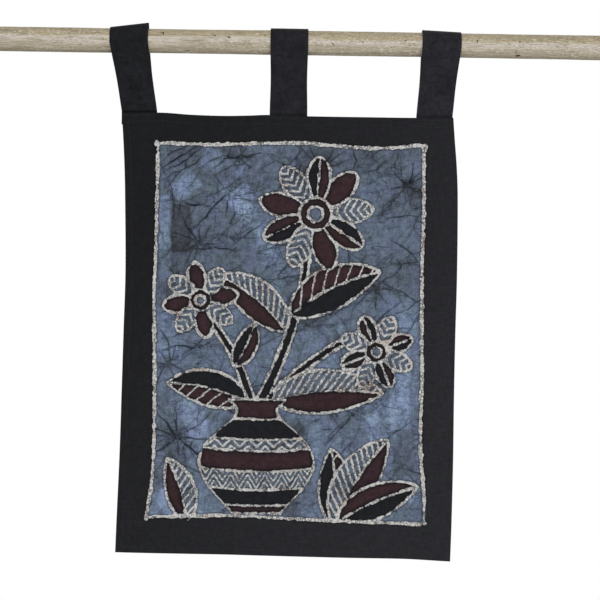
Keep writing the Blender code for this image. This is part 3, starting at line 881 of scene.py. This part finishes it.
def arc_row(tab, across, share):
    """A row of a tab where it goes over the rod, from front to back."""
    turn = math.pi * mix(LEAVES_FRONT, LEAVES_BACK, share)
    lift = mix(tab["lift_left"], tab["lift_right"], across) * max(math.sin(turn), 0.0)
    y = np.full(across.shape, TAB_ROUND * math.cos(turn))
    return np.stack((tab_x(tab, across, 0.0), y, TAB_ROUND * math.sin(turn) + lift), axis=-1)


def seam_row(tab, across, share, side):
    """A row of a tab behind the panel's hem, from its end up; the back leg lies behind the front one."""
    x = tab_x(tab, across, 1.0)
    z = mix(panel_top(x) - TAB_OVERLAP, panel_top(x) + SEAM_CLEARANCE, share)
    y = HEM_THICKNESS - PANEL_THICKNESS / 2 + PIECE_GAP + TAB_THICKNESS / 2 - fold_forward(x, z)
    return np.stack((x, y + (TAB_THICKNESS + PIECE_GAP if side > 0 else 0.0), z), axis=-1)


def leg_row(tab, across, share, side):
    """A row of a tab's leg, which leaves the rod along its round and reaches the seam hanging straight."""
    turn = math.pi * (LEAVES_FRONT if side < 0 else LEAVES_BACK)
    start, end = arc_row(tab, across, 0.0 if side < 0 else 1.0), seam_row(tab, across, 1.0, side)
    reach = np.linalg.norm(end - start, axis=-1)[:, None]
    leaving = np.array((0, side * math.sin(turn), -side * math.cos(turn))) * reach
    row = smooth(start, leaving, end, np.array((0, 0, -1.0)) * reach, share)
    fold_at = mix(tab["fold_at_rod"], tab["fold_at_seam"], share)
    bulge = TAB_BOW * (1 - (2 * across - 1) ** 2)
    bulge += tab["fold_forward"] * np.exp(-((across - fold_at) / TAB_FOLD_WIDTH) ** 2)
    creased = TAB_CREASE * uneven(row[:, 0], 0.0, row[:, 2], TAB_CREASE_SIZE, seed=6.0)
    row[:, 1] += (side * bulge + creased) * math.sin(math.pi * share) ** 2
    row[:, 0] = tab_x(tab, across, share)
    return row


def unit(vectors):
    """The same vectors, each one long."""
    return vectors / np.maximum(np.linalg.norm(vectors, axis=-1, keepdims=True), 1e-9)


# Black dyed plain weave cotton: matt, soft, never quite black, with pale lint caught in its threads. Its
# threads are drawn four times coarser than real, so that they show.
black_cotton, tree, shader, millimetres = new_material(
    "black dyed plain weave cotton", roughness=0.9, ior=1.47, specular=0.12, sheen=0.04,
)
# The black is a little lighter towards the right along the rod.
along_rod = add_node(tree, "SeparateXYZ", (millimetres,), out="X")
lighter_to_right = add_node(tree, "MapRange", (along_rod, -240.0, 160.0))
dyed = add_node(tree, "Mix", {0: lighter_to_right, 6: linear("#1a1b1e"), 7: linear("#242429")}, out=2, data_type="RGBA")
slubs = thread_slubs(tree, millimetres, 1 / 16, 0.55, 0.55)
slub_shade = add_node(tree, "MapRange", (slubs, 0.7, 1.3, 0.80, 1.20))
# Handling has rubbed it paler in soft patches and creases of 5 to 20 mm.
rubbed = add_node(
    tree, "TexNoise",
    {"Vector": millimetres, "Scale": 0.06, "Detail": 4.0, "Roughness": 0.75, "Distortion": 0.6},
)
rubbed = add_node(tree, "MapRange", (rubbed, 0.35, 0.65, 0.66, 1.36))
for shade in (slub_shade, rubbed):
    dyed = add_node(tree, "VectorMath", {0: dyed, "Scale": shade}, operation="SCALE")
# Lint: faint slanting hairs of about 1 by 9 mm, coarser than real ones so that they show.
slanted = add_node(
    tree, "Mapping",
    {"Vector": millimetres, "Rotation": (0, -math.radians(52), 0), "Scale": (9.0, 1.4, 1.4)},
    vector_type="TEXTURE",
)
lint = add_node(tree, "TexNoise", {"Vector": slanted, "Scale": 0.9, "Detail": 2.0, "Roughness": 0.6})
lint = add_node(tree, "MapRange", (lint, 0.68, 0.78, 0.0, 0.09))
dyed = add_node(tree, "Mix", {0: lint, 6: dyed, 7: linear("#8c8e94")}, out=2, data_type="RGBA")
# Painted shade: the colour is darkened most where a tab goes in behind the panel's top edge.
painted_tuck_shade = add_node(tree, "Attribute", out="Fac", attribute_name="painted_tuck_shade")
painted_tuck_shade = add_node(tree, "MapRange", (painted_tuck_shade, 0.0, 1.0, 1.0, 0.3))
dyed = add_node(tree, "VectorMath", {0: dyed, "Scale": painted_tuck_shade}, operation="SCALE")
bump = add_node(tree, "Bump", {"Height": slubs, "Strength": 0.5, "Distance": 0.0003})
tree.links.new(dyed, shader.inputs["Base Color"])
tree.links.new(bump, shader.inputs["Normal"])

in_from_edge = np.array([row[0] for row in TAB_PROFILE])
tab_across = np.concatenate((in_from_edge, [1.0], 2 - in_from_edge[::-1])) / 2
tab_profile = np.array([row[1] for row in TAB_PROFILE] + [1.0] + [row[1] for row in TAB_PROFILE[::-1]])
tab_rows = [(seam_row, step / TAB_SEAM_ROWS, -1) for step in range(TAB_SEAM_ROWS)]
tab_rows += [(leg_row, 1 - step / TAB_LEG_ROWS, -1) for step in range(TAB_LEG_ROWS)]
tab_rows += [(arc_row, step / TAB_ARC_ROWS) for step in range(TAB_ARC_ROWS + 1)]
tab_rows += [(leg_row, step / TAB_LEG_ROWS, 1) for step in range(1, TAB_LEG_ROWS + 1)]
tab_rows += [(seam_row, 1 - step / TAB_SEAM_ROWS, 1) for step in range(1, TAB_SEAM_ROWS + 1)]
tab_surfaces = {}
for name, tab in TABS.items():
    centre = np.array([row(tab, tab_across, *place) for row, *place in tab_rows])
    outward = unit(np.cross(np.gradient(centre, axis=0), np.gradient(centre, axis=1)))
    half = TAB_THICKNESS / 2 * tab_profile * (
        1 + TAB_SLACK * uneven(centre[..., 0], centre[..., 1], centre[..., 2], TAB_SLACK_SIZE, seed=5.0)
    )
    outer, inner = (centre + side * outward * half[..., None] for side in (1, -1))
    # Each row is one ring of points: the outer face left to right, then the inner face back again.
    rings = np.concatenate((outer, inner[:, -2:0:-1]), axis=1)
    numbers = np.arange(rings.shape[0] * rings.shape[1]).reshape(rings.shape[:2])
    faces = grid_faces(np.concatenate((numbers, numbers[:, :1]), axis=1))
    columns = len(tab_across)
    for row, outwards in ((0, True), (-1, False)):
        front = numbers[row, :columns].tolist()
        back = [front[0]] + numbers[row, :columns - 1:-1].tolist() + [front[-1]]
        for column in range(columns - 1):
            cap = [front[column], front[column + 1], back[column + 1], back[column]]
            cap = [number for place, number in enumerate(cap) if number not in cap[:place]]
            faces.append(cap if outwards else cap[::-1])
    piece = mesh_object(f"{name}_strip", rings.reshape(-1, 3), faces, black_cotton)
    # Painted shade on each tab's front, just above the panel's top edge; none on the back leg.
    above_edge = rings[..., 2] - panel_top(rings[..., 0])
    painted_tuck_shade = tab["painted_tuck_shade"] * np.clip(TUCK_SHADE_START - above_edge / TUCK_SHADE_DEPTH, 0, 1)
    painted_tuck_shade[len(painted_tuck_shade) // 2:] = 0
    store(piece, "painted_tuck_shade", painted_tuck_shade)
    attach(piece, "root")
    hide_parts(name)
    tab_surfaces[name] = (outer, outward)

# The stitching
# Black cotton thread of about 0.3 mm, drawn 0.5 mm thick so that it shows, in lockstitches of 3.4 mm. It
# holds the hem, the edges of the tabs, and the tabs' ends in two rows across each.
STITCH_PITCH = 0.0034
STITCH_LENGTH = 0.0026
THREAD_RADIUS = 0.00026
THREAD_SIDES = 6
STITCH_RINGS = (
    # along a stitch, height over the cloth and thickness, as shares of its length and of the thread
    (-0.50, -0.6, 0.35), (-0.36, 0.25, 0.9), (0.0, 0.75, 1.0), (0.36, 0.25, 0.9), (0.50, -0.6, 0.35),
)

# Black mercerised sewing thread: a little more sheen than the cloth, and twisted once in about 2 mm.
sewing_thread, tree, shader, millimetres = new_material(
    "black sewing thread", roughness=0.6, ior=1.47, specular=0.3,
)
twist = add_node(
    tree, "TexWave", {"Vector": millimetres, "Scale": 0.3, "Distortion": 0.5}, out="Fac",
    bands_direction="DIAGONAL",
)
dyed = add_node(tree, "Mix", {0: twist, 6: linear("#1a1b1e"), 7: linear("#3a3b40")}, out=2, data_type="RGBA")
bump = add_node(tree, "Bump", {"Height": twist, "Strength": 0.4, "Distance": 0.0001})
tree.links.new(dyed, shader.inputs["Base Color"])
tree.links.new(bump, shader.inputs["Normal"])


def stitching(name, rows):
    """One mesh of stitches. Each row is the stitches' start points, end points and outward directions."""
    starts, ends, out = (np.concatenate(part) for part in zip(*rows))
    along = unit(ends - starts)
    aside = unit(np.cross(out, along))
    upward = np.cross(along, aside)
    rings = []
    for place, height, thick in STITCH_RINGS:
        middle = (starts + ends) / 2 + (ends - starts) * place + upward * height * THREAD_RADIUS
        for corner in range(THREAD_SIDES):
            turn = math.tau * corner / THREAD_SIDES
            spoke = aside * math.cos(turn) + upward * math.sin(turn)
            rings.append(middle + spoke * thick * THREAD_RADIUS)
    points = np.stack(rings, axis=1)
    numbers = np.arange(len(rings)).reshape(len(STITCH_RINGS), THREAD_SIDES)
    faces = grid_faces(np.concatenate((numbers, numbers[:, :1]), axis=1)[::-1])
    faces += [numbers[0, ::-1].tolist(), numbers[-1].tolist()]
    all_faces = [
        [number + stitch * len(rings) for number in face] for stitch in range(len(starts)) for face in faces
    ]
    piece = mesh_object(name, points.reshape(-1, 3), all_faces, sewing_thread)
    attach(piece, "root")
    return piece


def panel_stitches(first, last, back):
    """A straight row of stitches between two places on the panel, on its face or on its hem's back."""
    first, last = np.array(first), np.array(last)
    length = np.linalg.norm(last - first)
    count = round(length / STITCH_PITCH)
    middle = (np.arange(count) + 0.5) / count
    half = STITCH_LENGTH / length / 2
    ends = []
    for share in (middle - half, middle + half):
        x, y, z = panel_point(*mix(first, last, share[:, None]).T)
        ends.append(np.stack((x, y + (HEM_THICKNESS if back else 0.0), z), axis=-1))
    return ends[0], ends[1], np.full((count, 3), (0.0, 1.0 if back else -1.0, 0.0))


side_right, foot = PANEL_WIDTH - SIDE_ROW, PANEL_HEIGHT - FOOT_ROW
hem_corners = ((SIDE_ROW, TOP_ROW), (side_right, TOP_ROW), (side_right, foot), (SIDE_ROW, foot))
hem_rows = [
    panel_stitches(first, last, back)
    for back in (False, True) for first, last in zip(hem_corners, hem_corners[1:] + hem_corners[:1])
]
hem_stitching = stitching("hem_stitching", hem_rows)
# How far down the tabs' ends are sewn on, how far in those rows start as a share of a tab's width, how
# far the thread stands off the back leg, and how far short of that leg's end its own stitching stops.
SEAM_ROWS, SEAM_INSET = (0.0035, 0.0128), 0.06
THREAD_OFF, STITCHED_SHORT = 0.0001, 0.002
columns = len(tab_across)
topstitched = int(np.argmin(np.abs(in_from_edge - TOPSTITCHED)))
for name, tab in TABS.items():
    outer, outward = tab_surfaces[name]
    seam_left, seam_right = (tab_x(tab, np.array(share), 1.0) for share in (SEAM_INSET, 1 - SEAM_INSET))
    rows = []
    for below in SEAM_ROWS:
        ends = [(x - SIDE_EDGES[0][1], below) for x in (seam_left, seam_right)]
        rows.append(panel_stitches(*ends, False))
        starts, finishes, out = panel_stitches(*ends, True)
        behind = np.array((0, 2 * (TAB_THICKNESS + PIECE_GAP) + THREAD_OFF, 0))
        rows.append((starts + behind, finishes + behind, out))
    for column in (topstitched, columns - 1 - topstitched):
        path, away = outer[:, column], outward[:, column]
        run = np.concatenate(([0], np.cumsum(np.linalg.norm(np.diff(path, axis=0), axis=1))))
        # The rows run from the hem's edge at the front, over the rod, to the end of the back leg.
        shown = run[TAB_SEAM_ROWS + 1], run[-1] - STITCHED_SHORT
        count = round((shown[1] - shown[0]) / STITCH_PITCH)
        middle = shown[0] + (np.arange(count) + 0.5) * (shown[1] - shown[0]) / count
        places = [middle - STITCH_LENGTH / 2, middle, middle + STITCH_LENGTH / 2]
        starts, _, finishes = (
            np.stack([np.interp(place, run, path[:, axis]) for axis in range(3)], axis=-1) for place in places
        )
        out = np.stack([np.interp(middle, run, away[:, axis]) for axis in range(3)], axis=-1)
        rows.append((starts, finishes, out))
    piece = stitching(f"{name}_stitching", rows)

# The rod
# One length of turned softwood, brushed with thin whitewash and left to weather, so the grain stands up
# and shows olive and grey through the white. Small nicks and pits are scattered along it.
ROD_LENGTH = 0.900
ROD_END_CHAMFER = 0.0015
ROD_SWELL = 0.0003
ROD_WEAR = 0.0002
ROD_BOW = 0.0003
ROD_SIDES, ROD_CELLS = 112, 400
NICKS = (
    # along the rod, height on its front, half length, half width, slant, depth, all in mm
    (-161, 9, 0.8, 2.6, 0.0, 0.9), (-163, 10, 2.0, 0.8, 0.2, 0.7), (-94, 7, 1.6, 0.9, -0.5, 0.8),
    (-76, 5, 2.8, 0.9, -0.25, 0.9), (-80, 6, 1.2, 0.8, 0.0, 0.6), (59, -2, 2.6, 1.0, -0.9, 0.8),
    (98, 1, 2.0, 0.9, -0.5, 0.7), (135, -5, 2.2, 0.8, 0.3, 0.6), (153, 4, 1.8, 0.9, 0.6, 0.8),
    (246, 5, 1.1, 1.2, 0.0, 0.9), (301, 5, 1.0, 1.3, -0.4, 0.9), (299, -13, 3.4, 1.2, 0.2, 0.8),
    (-318, 4, 4.0, 0.7, 0.3, 0.5), (-268, -6, 3.0, 0.8, -0.4, 0.5), (391, 7, 2.0, 0.7, 0.5, 0.5),
    (-12, -11, 3.5, 0.8, 0.0, 0.4), (-128, -13, 4.5, 0.9, 0.1, 0.5),
)
NICK_STATIONS = (-1.8, -1.1, -0.6, -0.2, 0.2, 0.6, 1.1, 1.8)
NICK_DEEPEST = 0.42
STATIONS_APART = 0.00015
# Pits lie where a noise is over the first value, and are as deep as the second.
PITS_FROM, PIT_DEEPEST = 0.56, 0.38
ROD_GRAIN = (
    # height in mm, squeezed along the rod, width, seed
    (0.14, 0.055, 0.0016, 0.0), (0.16, 0.10, 0.0052, 4.0), (0.10, 1.0, 0.011, 9.0),
)
chamfered = ROD_LENGTH / 2 - ROD_END_CHAMFER
rod_stations = [-ROD_LENGTH / 2, *np.linspace(-chamfered, chamfered, ROD_CELLS), ROD_LENGTH / 2]
# Closer stations round each nick keep it sharp.
for nick_x, _, half_length, *_ in NICKS:
    rod_stations += [(nick_x + share * half_length) * MM for share in NICK_STATIONS]
rod_stations = np.array(sorted(rod_stations))
rod_stations = rod_stations[np.append(np.diff(rod_stations) > STATIONS_APART, True)]
turns = np.linspace(0, math.tau, ROD_SIDES, endpoint=False)
rod_x, rod_turn = np.meshgrid(rod_stations, turns, indexing="ij")
round_y, round_z = np.cos(rod_turn), np.sin(rod_turn)
wood_y, wood_z = round_y * ROD_RADIUS, round_z * ROD_RADIUS
# It is not quite round or straight: it swells and bows in waves of 0.4 to 0.8 m.
swell = ROD_SWELL * np.sin(rod_x * 17.0 + 0.6) * (0.6 + 0.4 * np.sin(2 * rod_turn + rod_x * 9.0))
grain = sum(
    height * uneven(rod_x * squeeze, wood_y, wood_z, width, seed)
    for height, squeeze, width, seed in ROD_GRAIN
)
pitted = uneven(rod_x * 0.45, wood_y, wood_z, 0.0030, seed=13.0)
nicked = np.clip(2 * (pitted - PITS_FROM), 0, PIT_DEEPEST)
for nick_x, nick_z, half_length, half_width, slant, depth in NICKS:
    away_x = rod_x / MM - nick_x
    away_z = round_z * ROD_RADIUS / MM - nick_z - slant * away_x
    mark = depth * np.exp(-(away_x / half_length) ** 2 - (away_z / half_width) ** 2) * (round_y < 0)
    nicked = np.maximum(nicked, mark)
radius = ROD_RADIUS - ROD_WEAR + swell + (grain - NICK_DEEPEST * nicked) * MM
radius[[0, -1]] -= ROD_END_CHAMFER
rod_y = radius * round_y + ROD_BOW * np.sin(rod_x * 11.0)
rod_z = radius * round_z + ROD_BOW * np.sin(rod_x * 8.0 + 0.9)
numbers = np.arange(rod_x.size).reshape(rod_x.shape)
rod_faces = grid_faces(np.concatenate((numbers, numbers[:, :1]), axis=1)[::-1])
rod_faces += [numbers[0, ::-1].tolist(), numbers[-1].tolist()]

# Whitewashed softwood: chalky and matt. The paint lies in long streaks of warm white over olive and
# pinkish grey wood, worn off the raised grain, and the nicks and the sawn ends show bare brown wood.
whitewashed_wood, tree, shader, millimetres = new_material(
    "whitewashed weathered softwood", roughness=0.78, ior=1.50, specular=0.25,
)
streaks = {}
for kind, long, wide, detail in (
    # how long and how wide each kind of streak or fleck is, in millimetres
    ("bands", 190, 7.0, 2.0), ("patches", 46, 5.0, 3.0), ("fine", 24, 1.3, 4.0), ("flecks", 4.6, 1.4, 2.0),
    ("worn", 120, 26.0, 1.0),
):
    squeeze = (1 / long, 1 / wide, 1 / wide)
    squeezed = add_node(tree, "VectorMath", (millimetres, squeeze), operation="MULTIPLY")
    streaks[kind] = add_node(
        tree, "TexNoise",
        {"Vector": squeezed, "Scale": 1.0, "Detail": detail, "Roughness": 0.65, "Distortion": 0.3},
    )
# The bands run along the rod at wandering heights: darker ochre above, pinkish cream in the middle, darker
# olive below, so the rod is darker towards its top and most towards its underside.
height = add_node(tree, "SeparateXYZ", (millimetres,), out="Z")
streaks["height"] = add_node(tree, "Math", (streaks["bands"], 22.0, height), operation="MULTIPLY_ADD")
# Where the rod is worn smooth, its flecks are faint.
fleck_share = add_node(tree, "MapRange", (streaks["worn"], 0.38, 0.56, 0.45, 1.0))
coloured = linear("#c7c0b3")
for kind, low, high, amount, colour in (
    ("height", 14.5, 16.5, 0.80, "#aa9a76"), ("height", 12.5, 9.5, 0.60, "#bdafa4"),
    ("height", 7.5, 4.0, 0.62, "#9f957c"), ("height", -0.5, -4.5, 0.50, "#7d745f"),
    ("patches", 0.52, 0.62, 0.80, "#978d75"), ("fine", 0.52, 0.66, 0.58, "#837962"),
    ("fine", 0.46, 0.33, 0.50, "#d2ccbe"), ("flecks", 0.56, 0.66, 0.66, "#7c7159"),
    ("flecks", 0.44, 0.33, 0.80, "#dcd7c9"),
):
    share = add_node(tree, "MapRange", (streaks[kind], low, high, 0.0, amount))
    if kind == "flecks":
        share = add_node(tree, "Math", (share, fleck_share), operation="MULTIPLY")
    coloured = add_node(tree, "Mix", {0: share, 6: coloured, 7: linear(colour)}, out=2, data_type="RGBA")
nick_marks = add_node(tree, "Attribute", out="Fac", attribute_name="nicked")
nick_marks = add_node(tree, "MapRange", (nick_marks, 0.22, 0.50))
# The sawn ends: bare wood in yearly rings about 2 mm apart, round a pith that is a little off the middle.
along_rod = add_node(tree, "SeparateXYZ", (millimetres,), out="X")
from_middle = add_node(tree, "Math", (along_rod,), operation="ABSOLUTE")
half_length = ROD_LENGTH / 2 / MM
sawn = add_node(tree, "MapRange", (from_middle, half_length - 0.3, half_length - 0.1))
from_pith = add_node(tree, "VectorMath", (millimetres, (0.0, 3.0, 2.0)), operation="ADD")
rings = add_node(
    tree, "TexWave",
    {"Vector": from_pith, "Scale": 0.16, "Distortion": 2.6, "Detail": 2.0, "Detail Scale": 0.6},
    out="Fac", wave_type="RINGS", rings_direction="X",
)
end_grain = add_node(
    tree, "Mix", {0: rings, 6: linear("#ab9b80"), 7: linear("#8f7d62")}, out=2, data_type="RGBA",
)
for share, colour in ((nick_marks, linear("#362e25")), (sawn, end_grain)):
    coloured = add_node(tree, "Mix", {0: share, 6: coloured, 7: colour}, out=2, data_type="RGBA")
bump = add_node(tree, "Bump", {"Height": streaks["fine"], "Strength": 0.6, "Distance": 0.0005})
tree.links.new(coloured, shader.inputs["Base Color"])
tree.links.new(bump, shader.inputs["Normal"])
rod_points = np.stack((rod_x, rod_y, rod_z), axis=-1).reshape(-1, 3)
rod = mesh_object("rod_turned", rod_points, rod_faces, whitewashed_wood)
rod.data.set_sharp_from_angle(angle=math.radians(50))
store(rod, "nicked", nicked)
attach(rod, "root")
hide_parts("rod")

# The studio
# A plain pale floor well below the hanging, a white surround, and large soft lights. There is no wall,
# so that the back can be seen too.
FLOOR_HEIGHT = -1.5
FLOOR_HALF = 2.0
floor_points = np.array([(-1, -1), (1, -1), (1, 1), (-1, 1)]) * FLOOR_HALF
floor_points = np.column_stack((floor_points, np.full(4, FLOOR_HEIGHT)))
pale_floor = bpy.data.materials.new("matt white studio paper")
pale_floor.use_nodes = True
pale_floor.node_tree.nodes["Principled BSDF"].inputs["Base Color"].default_value = linear("#e6e5e2")
pale_floor.node_tree.nodes["Principled BSDF"].inputs["Roughness"].default_value = 0.9
floor = mesh_object("studio_floor", floor_points, [[0, 1, 2, 3]], pale_floor)

# The white surround shows behind the hanging in full, and lights it only a little.
world = bpy.data.worlds.new("white surround")
bpy.context.scene.world = world
world.use_nodes = True
tree = world.node_tree
surround = tree.nodes["Background"]
surround.inputs["Color"].default_value = (1.0, 1.0, 1.0, 1.0)
seen = add_node(tree, "LightPath", out="Is Camera Ray")
strength = add_node(tree, "MapRange", (seen, 0.0, 1.0, 0.36, 1.0))
tree.links.new(strength, surround.inputs["Strength"])

LIGHTS = (
    # name, place, what it points at, size, power in watts
    ("key light", (-0.55, -2.5, 0.7), (0.0, 0.0, -0.3), 1.3, 35),
    ("fill light", (1.4, -2.0, -0.5), (0.0, 0.0, -0.4), 1.6, 15),
    ("back light", (0.6, 2.0, 1.4), (0.0, 0.0, -0.2), 1.6, 22),
)
for name, place, target, size, power in LIGHTS:
    lamp = bpy.data.lights.new(name, "AREA")
    lamp.size = size
    lamp.energy = power
    light = bpy.data.objects.new(name, lamp)
    light.location = place
    light.rotation_euler = (Vector(target) - Vector(place)).to_track_quat("-Z", "Y").to_euler()
    bpy.context.collection.objects.link(light)
bpy.context.scene.view_settings.view_transform = "Standard"

# The camera
# It looks straight at the cloth from 3.68 m, turned by under a degree, so that the rod falls to the right.
CAMERA_PLACE = (0.0214, -3.684, -0.3339)
CAMERA_ROLL = 0.8806
lens = bpy.data.cameras.new("camera")
lens.lens = 170
lens.sensor_width = 36
camera = bpy.data.objects.new("camera", lens)
camera.matrix_world = (
    Matrix.Translation(CAMERA_PLACE) @ Matrix.Rotation(math.radians(90), 4, "X")
    @ Matrix.Rotation(math.radians(CAMERA_ROLL), 4, "Z")
)
bpy.context.collection.objects.link(camera)
bpy.context.scene.camera = camera
